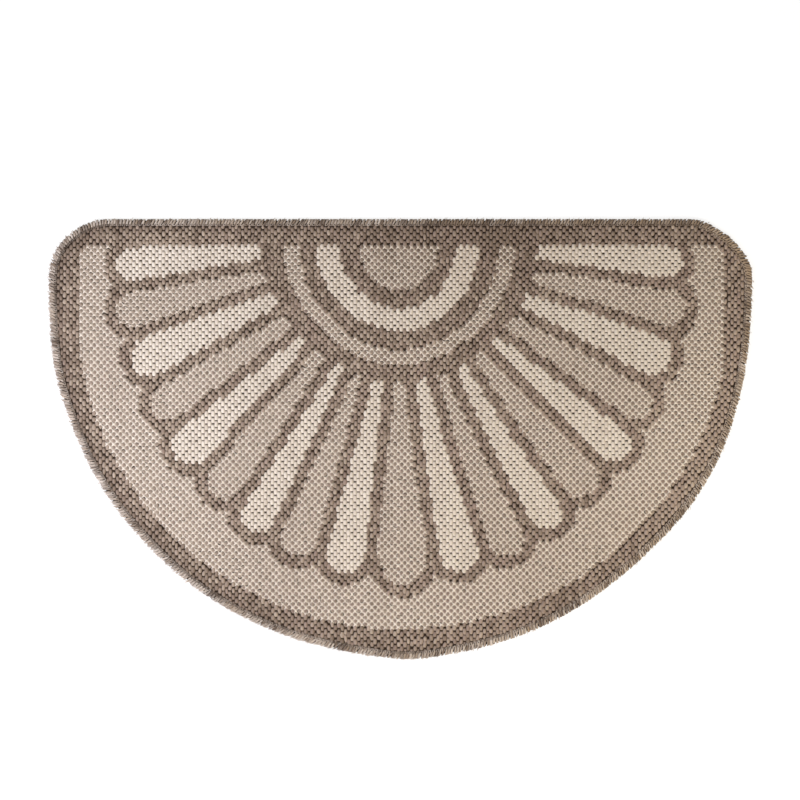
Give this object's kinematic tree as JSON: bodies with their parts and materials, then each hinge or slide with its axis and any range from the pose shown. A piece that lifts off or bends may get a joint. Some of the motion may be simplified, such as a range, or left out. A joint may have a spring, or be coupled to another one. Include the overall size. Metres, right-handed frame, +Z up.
{
  "type": "half-round doormat",
  "caption": "Flat half-round doormat of thick woven yarn with an overcast edge, straight on the side that lies against a door.",
  "frame": {"origin": "middle of the box of the mat, on its underside, where it rests on the floor", "axes": "+X along the straight side, +Y from the round side towards the straight side, +Z up out of the tread face"},
  "size_m": [0.7984, 0.4997, 0.0054],
  "materials": {
    "woven_yarn": "matt flat-woven yarn in cream and taupe",
    "edge_thread": "overcast thread in mixed taupe and cream"
  },
  "bodies": {
    "root": {"woven_mat": "woven_yarn", "edge_binding": "edge_thread"}
  },
  "joints": []
}
